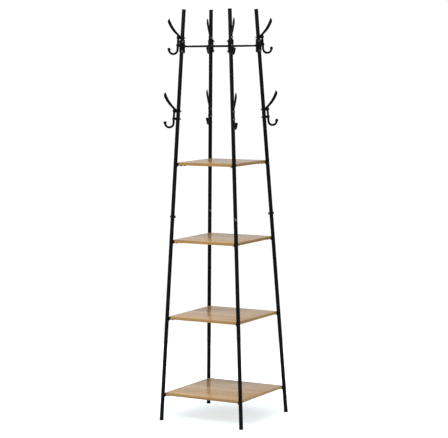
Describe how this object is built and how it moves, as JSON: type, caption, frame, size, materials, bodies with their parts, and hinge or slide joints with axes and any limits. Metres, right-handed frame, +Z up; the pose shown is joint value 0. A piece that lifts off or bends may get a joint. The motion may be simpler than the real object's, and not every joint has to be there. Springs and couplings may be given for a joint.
{
  "type": "hall tree with hooks",
  "caption": "Free-standing hall tree: leaning black tube legs hold square oak-look shelves that widen towards the floor, with a ring of thin rails and double coat hooks near the top.",
  "frame": {"origin": "centre of the footprint on the floor, on the stand's upright middle axis", "axes": "+Z up along the middle axis, -Y towards the front, +X to the right; the legs stand on the diagonals"},
  "size_m": [0.423, 0.423, 1.8006],
  "materials": {
    "black_steel": "satin black powder coat with a fine orange-peel texture",
    "black_casting": "black powder coat over a casting, a little glossier on the edges",
    "black_plastic": "moulded, matt black",
    "dark_zinc": "black-plated fasteners with a soft sheen",
    "oak_laminate": "light oak woodgrain laminate, semi-gloss, with a golden brown edge band"
  },
  "bodies": {
    "root": {"lower_leg_front_left": "black_steel", "lower_leg_front_right": "black_steel", "lower_leg_back_right": "black_steel", "lower_leg_back_left": "black_steel", "upper_leg_front_left": "black_steel", "upper_leg_front_right": "black_steel", "upper_leg_back_right": "black_steel", "upper_leg_back_left": "black_steel", "foot_cap_front_left": "black_plastic", "foot_cap_front_right": "black_plastic", "foot_cap_back_right": "black_plastic", "foot_cap_back_left": "black_plastic", "top_cap_front_left": "black_plastic", "top_cap_front_right": "black_plastic", "top_cap_back_right": "black_plastic", "top_cap_back_left": "black_plastic", "shelf_bottom": "oak_laminate", "shelf_lower": "oak_laminate", "shelf_upper": "oak_laminate", "shelf_top": "oak_laminate", "shelf_bracket_bottom_front_left": "black_steel", "shelf_bracket_bottom_front_right": "black_steel", "shelf_bracket_bottom_back_right": "black_steel", "shelf_bracket_bottom_back_left": "black_steel", "shelf_bracket_lower_front_left": "black_steel", "shelf_bracket_lower_front_right": "black_steel", "shelf_bracket_lower_back_right": "black_steel", "shelf_bracket_lower_back_left": "black_steel", "shelf_bracket_upper_front_left": "black_steel", "shelf_bracket_upper_front_right": "black_steel", "shelf_bracket_upper_back_right": "black_steel", "shelf_bracket_upper_back_left": "black_steel", "shelf_bracket_top_front_left": "black_steel", "shelf_bracket_top_front_right": "black_steel", "shelf_bracket_top_back_right": "black_steel", "shelf_bracket_top_back_left": "black_steel", "rail_front": "black_steel", "rail_right": "black_steel", "rail_back": "black_steel", "rail_left": "black_steel", "rail_bracket_front_left": "black_steel", "rail_bracket_front_right": "black_steel", "rail_bracket_back_right": "black_steel", "rail_bracket_back_left": "black_steel", "coat_hook_lower_front_left": "black_casting", "coat_hook_lower_front_right": "black_casting", "coat_hook_lower_back_right": "black_casting", "coat_hook_lower_back_left": "black_casting", "coat_hook_upper_front_left": "black_casting", "coat_hook_upper_front_right": "black_casting", "coat_hook_upper_back_right": "black_casting", "coat_hook_upper_back_left": "black_casting", "leg_joint_bolts": "dark_zinc", "leg_joint_nuts": "dark_zinc", "rail_bracket_bolts": "dark_zinc", "rail_bracket_nuts": "dark_zinc", "hook_screws": "dark_zinc", "hook_nuts": "dark_zinc", "shelf_screws": "dark_zinc"}
  },
  "joints": []
}
